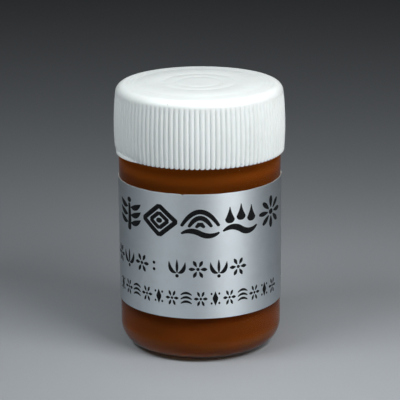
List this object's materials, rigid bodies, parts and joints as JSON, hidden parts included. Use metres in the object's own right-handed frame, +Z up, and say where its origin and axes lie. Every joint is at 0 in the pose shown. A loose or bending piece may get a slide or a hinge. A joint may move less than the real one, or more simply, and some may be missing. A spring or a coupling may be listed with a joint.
{
  "type": "screw-capped oil jar",
  "caption": "Small straight-sided clear jar of amber painting oil with a foil wrap label, a pull-out mouth plug and a finely ribbed white screw cap with a foam liner.",
  "frame": {"origin": "centre of the foot, on the surface the jar stands on", "axes": "+Z up along the jar's axis; the printed front of the label faces -Y, its seam faces +Y"},
  "size_m": [0.0378, 0.0378, 0.0596],
  "materials": {
    "jar_glass": "clear, polished",
    "amber_oil": "clear amber liquid, smooth surface",
    "plug_plastic": "soft milky plastic, satin",
    "liner_foam": "fine closed-cell foam",
    "cap_plastic": "white moulded plastic, satin",
    "label_foil": "brushed silver foil with black print"
  },
  "bodies": {
    "jar": {"jar_body": "jar_glass", "oil_fill": "amber_oil", "label_foil": "label_foil"},
    "plug": {"inner_plug": "plug_plastic"},
    "liner": {"cap_liner": "liner_foam"},
    "cap": {"screw_cap": "cap_plastic"}
  },
  "joints": [
    {"name": "cap_rise", "type": "slide", "parent": "jar", "child": "liner", "axis": [0, 0, 1], "range_m": [0, 0.0193]},
    {"name": "cap_turn", "type": "hinge", "parent": "liner", "child": "cap", "pos_m": [0, 0, 0.0505], "axis": [0, 0, 1], "range_deg": [0, 2160]},
    {"name": "plug_pull", "type": "slide", "parent": "jar", "child": "plug", "axis": [0, 0, 1], "range_m": [0, 0.0073]}
  ],
  "couplings": [
    {"joint": "cap_rise", "follows": "cap_turn", "m_per_rad": 0.0005093},
    {"joint": "plug_pull", "follows": "cap_turn", "m_per_rad": 0.00019099}
  ]
}
